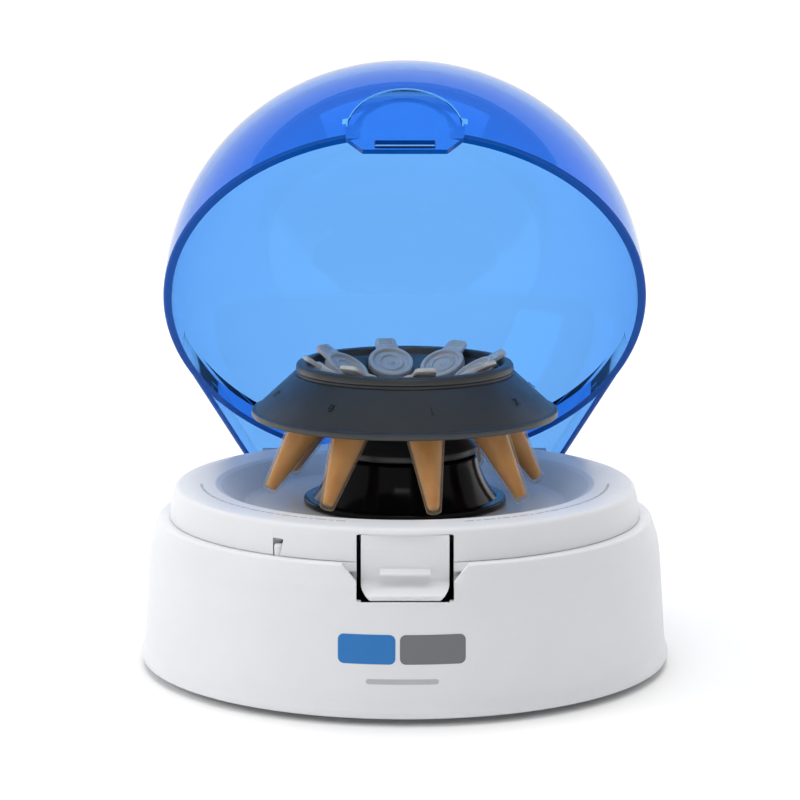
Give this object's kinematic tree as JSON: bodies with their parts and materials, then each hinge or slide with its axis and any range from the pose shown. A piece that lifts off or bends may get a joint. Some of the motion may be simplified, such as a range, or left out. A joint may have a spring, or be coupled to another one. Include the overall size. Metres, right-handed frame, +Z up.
{
  "type": "mini laboratory centrifuge",
  "caption": "Small benchtop centrifuge: round white base with a front push latch, hinged translucent blue dome lid and a black angle rotor holding capped sample tubes.",
  "frame": {"origin": "bottom centre of the bounding box with the lid open; the rotor axis is 10.257 mm in front of it", "axes": "+Z up, -Y to the front with the latch, +X to the right as seen from the front"},
  "size_m": [0.1526, 0.1734, 0.1715],
  "materials": {
    "white_shell": "fine satin moulded ABS",
    "grey_plastic": "moulded, matt",
    "black_plastic": "satin black moulding",
    "rotor_plastic": "satin dark grey moulding",
    "pedestal_gloss": "polished black",
    "lid_blue": "clear tinted, polished",
    "tube_clear": "translucent polypropylene",
    "cap_frosted": "frosted translucent polypropylene",
    "sample_amber": "amber liquid",
    "rubber": "matt moulded rubber",
    "steel": "turned",
    "brass": "turned",
    "copper": "varnished winding",
    "board": "solder mask"
  },
  "bodies": {
    "base": {"lower_housing": "white_shell", "top_cover": "white_shell", "bottom_plate": "grey_plastic", "foot_front_left": "rubber", "foot_front_right": "rubber", "foot_rear_left": "rubber", "foot_rear_right": "rubber", "base_screw_1": "steel", "base_screw_2": "steel", "base_screw_3": "steel", "base_screw_4": "steel", "lid_switch_body": "black_plastic", "hinge_pin_left": "steel", "hinge_pin_right": "steel", "motor_shroud": "pedestal_gloss", "motor_can": "steel", "motor_end_cap": "black_plastic", "motor_bearing_upper": "brass", "motor_bearing_lower": "brass", "motor_damper": "rubber", "motor_bracket": "grey_plastic", "bracket_screw_1": "steel", "bracket_screw_2": "steel", "circuit_board": "board", "dc_jack": "black_plastic", "power_switch_frame": "black_plastic"},
    "rotor": {"rotor": "rotor_plastic", "rotor_bush": "brass", "rotor_lock_nut": "black_plastic", "drive_shaft": "steel", "motor_armature": "copper", "tube_1": "tube_clear", "tube_2": "tube_clear", "tube_3": "tube_clear", "tube_4": "tube_clear", "tube_5": "tube_clear", "tube_6": "tube_clear", "tube_7": "tube_clear", "tube_8": "tube_clear", "tube_cap_1": "cap_frosted", "tube_cap_2": "cap_frosted", "tube_cap_3": "cap_frosted", "tube_cap_4": "cap_frosted", "tube_cap_5": "cap_frosted", "tube_cap_6": "cap_frosted", "tube_cap_7": "cap_frosted", "tube_cap_8": "cap_frosted", "sample_1": "sample_amber", "sample_2": "sample_amber", "sample_3": "sample_amber", "sample_4": "sample_amber", "sample_5": "sample_amber", "sample_6": "sample_amber", "sample_7": "sample_amber", "sample_8": "sample_amber"},
    "lid": {"lid": "lid_blue"},
    "front_latch": {"front_latch": "white_shell"},
    "lid_switch_plunger": {"lid_switch_plunger": "white_shell"},
    "power_rocker": {"power_rocker": "black_plastic"}
  },
  "joints": [
    {"name": "rotor_spin", "type": "hinge", "parent": "base", "child": "rotor", "pos_m": [0, -0.01026, 0.06], "axis": [0, 0, 1], "continuous": true},
    {"name": "lid_hinge", "type": "hinge", "parent": "base", "child": "lid", "pos_m": [0, 0.06124, 0.045], "axis": [1, 0, 0], "range_deg": [0, 51]},
    {"name": "latch_press", "type": "hinge", "parent": "base", "child": "front_latch", "pos_m": [0, -0.07546, 0.0502], "axis": [1, 0, 0], "range_deg": [0, 10], "stiffness_Nm_per_rad": 0.2},
    {"name": "lid_switch_press", "type": "slide", "parent": "base", "child": "lid_switch_plunger", "axis": [0, 0, -1], "range_m": [0, 0.0015], "stiffness_N_per_m": 150},
    {"name": "power_rocker_tilt", "type": "hinge", "parent": "base", "child": "power_rocker", "pos_m": [0.016, 0.08224, 0.019], "axis": [1, 0, 0], "range_deg": [-16, 0]}
  ]
}
